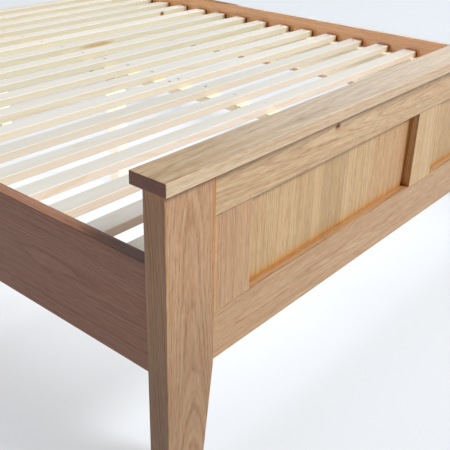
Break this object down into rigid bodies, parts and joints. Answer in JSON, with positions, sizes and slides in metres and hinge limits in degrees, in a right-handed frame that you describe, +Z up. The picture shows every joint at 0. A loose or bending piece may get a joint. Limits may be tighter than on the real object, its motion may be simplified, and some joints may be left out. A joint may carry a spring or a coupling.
{
  "type": "wooden bed frame",
  "caption": "Wooden bed frame with panelled foot and head ends under cap boards, tapered posts, hook-on side rails, and slats lying on ledgers and a centre rail.",
  "frame": {"origin": "on the floor under the centre of the bed, the bottom centre of the bounding box", "axes": "+Z up, +Y from the foot end to the head end, +X across the bed to the right side as seen from the foot"},
  "size_m": [1.708, 2.132, 1.05],
  "materials": {
    "oak": "satin oiled oak",
    "oak_panel": "satin oiled oak boards",
    "pine": "planed bare pine",
    "dowel_beech": "plain beech",
    "connector_steel": "zinc plated",
    "screw_steel": "yellow zinc plated"
  },
  "bodies": {
    "root": {"centre_foot_cleat": "pine", "centre_head_block": "pine", "centre_leg_foot": "pine", "centre_leg_head": "pine", "centre_leg_middle": "pine", "centre_rail": "pine", "centre_screws": "screw_steel", "foot_bottom_rail": "oak", "foot_cap": "oak", "foot_dowels": "dowel_beech", "foot_muntin": "oak", "foot_panel_left": "oak_panel", "foot_panel_right": "oak_panel", "foot_post_left": "oak", "foot_post_right": "oak", "foot_stile_left": "oak", "foot_stile_right": "oak", "foot_top_rail": "oak", "head_cap": "oak", "head_cross_rail": "oak", "head_dowels": "dowel_beech", "head_muntin": "oak", "head_panel_left": "oak_panel", "head_panel_rail": "oak", "head_panel_right": "oak_panel", "head_post_left": "oak", "head_post_right": "oak", "head_stile_left": "oak", "head_stile_right": "oak", "head_top_rail": "oak", "hook_plates": "connector_steel", "ledger_left": "pine", "ledger_right": "pine", "ledger_screws": "screw_steel", "plate_screws": "screw_steel", "side_rail_left": "oak", "side_rail_right": "oak", "slat_01": "pine", "slat_02": "pine", "slat_03": "pine", "slat_04": "pine", "slat_05": "pine", "slat_06": "pine", "slat_07": "pine", "slat_08": "pine", "slat_09": "pine", "slat_10": "pine", "slat_11": "pine", "slat_12": "pine", "slat_13": "pine", "slat_14": "pine", "slat_15": "pine", "slat_16": "pine", "slat_17": "pine", "slat_18": "pine", "slat_screws": "screw_steel", "slot_plates": "connector_steel"}
  },
  "joints": []
}
